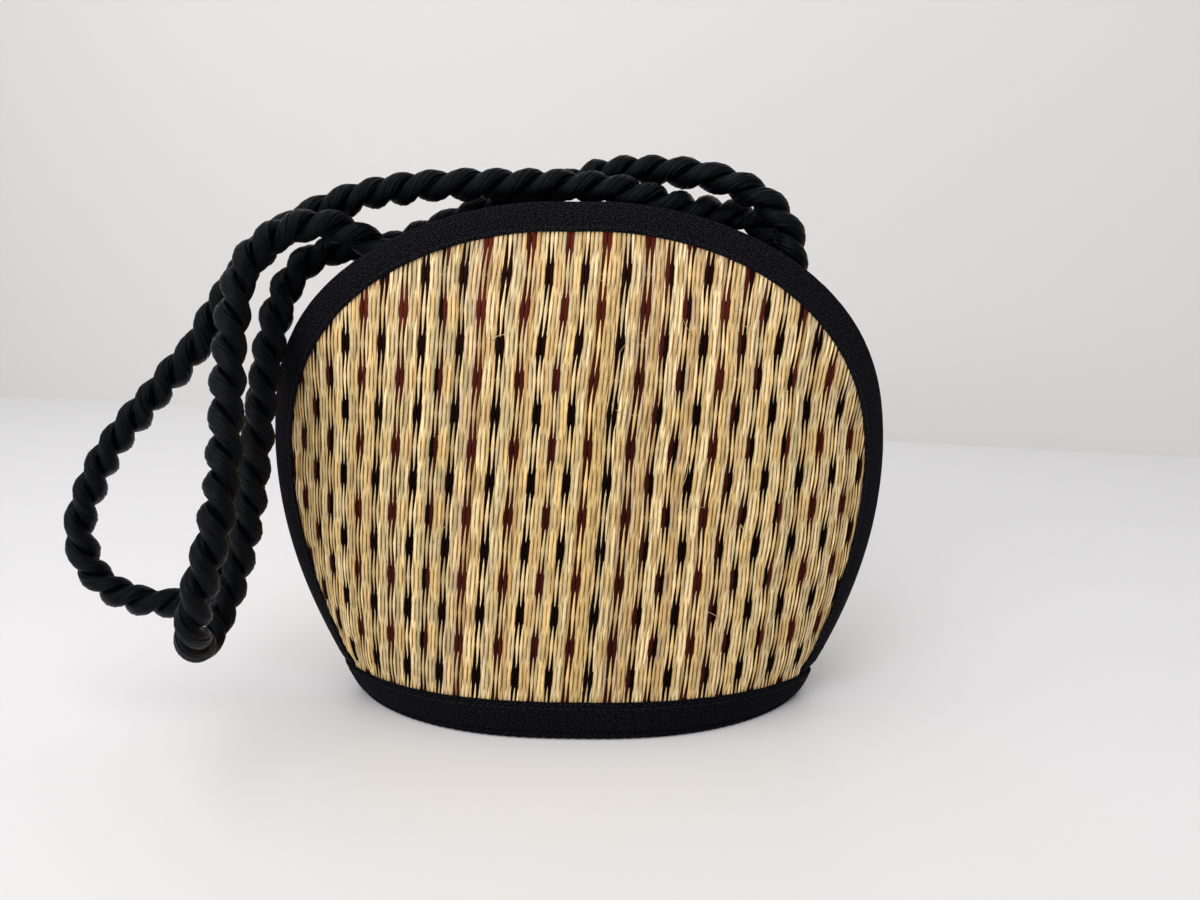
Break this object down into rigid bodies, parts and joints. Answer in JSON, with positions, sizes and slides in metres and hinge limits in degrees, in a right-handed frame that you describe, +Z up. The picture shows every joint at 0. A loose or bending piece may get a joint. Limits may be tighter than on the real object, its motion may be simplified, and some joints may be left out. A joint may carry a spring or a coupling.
{
  "type": "purse",
  "caption": "Small dome-shaped handbag of woven reed with cloth-bound edges, an oval base, an open mouth and soft twisted rope handles.",
  "frame": {"origin": "on the ground under the middle of the oval base", "axes": "+X to the right as seen from the front, +Y to the back, +Z up; the front panel faces -Y"},
  "size_m": [0.3075, 0.1238, 0.2089],
  "materials": {
    "reed": "split reed, satin, in straw, tan, maroon and black-brown",
    "binding_cloth": "plain black woven cloth, matte",
    "base_cloth": "plain black woven cloth, matte",
    "rope": "black satin cloth, soft sheen"
  },
  "bodies": {
    "root": {"front_panel": "reed", "back_panel": "reed", "front_binding": "binding_cloth", "back_binding": "binding_cloth", "base_band": "binding_cloth", "base_welt": "binding_cloth", "base": "base_cloth", "front_handle": "rope", "back_handle": "rope"}
  },
  "joints": []
}
